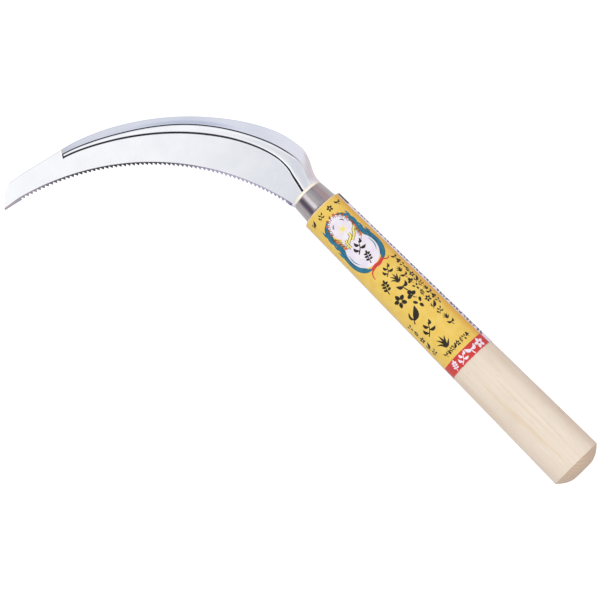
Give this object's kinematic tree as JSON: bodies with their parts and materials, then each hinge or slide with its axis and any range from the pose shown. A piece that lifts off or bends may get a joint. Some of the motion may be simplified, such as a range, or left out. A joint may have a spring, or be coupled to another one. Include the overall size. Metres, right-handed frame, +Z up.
{
  "type": "hand sickle",
  "caption": "Hand sickle: a curved, toothed steel blade with a pressed rib, pinned by its tang into a tapered wooden handle with a steel ferrule and a paper wrapper.",
  "frame": {"origin": "bottom centre of the whole tool's box, as it lies on a flat surface on the wrapped grip and the blade's point", "axes": "+X from the butt towards the blade, nearly along the handle; +Y to the side that the blade sweeps to; +Z up, out of the blade's ribbed face"},
  "size_m": [0.3378, 0.14, 0.0316],
  "materials": {
    "blade_steel": "satin polished stainless sheet",
    "ferrule_steel": "glossy drawn tube",
    "pale_wood": "sanded, unvarnished, straight grained",
    "pin_steel": "plain wire nail",
    "printed_paper": "semi-gloss printed paper"
  },
  "bodies": {
    "root": {"blade": "blade_steel", "ferrule": "ferrule_steel", "handle": "pale_wood", "tang_pin": "pin_steel", "paper_wrapper": "printed_paper"}
  },
  "joints": []
}
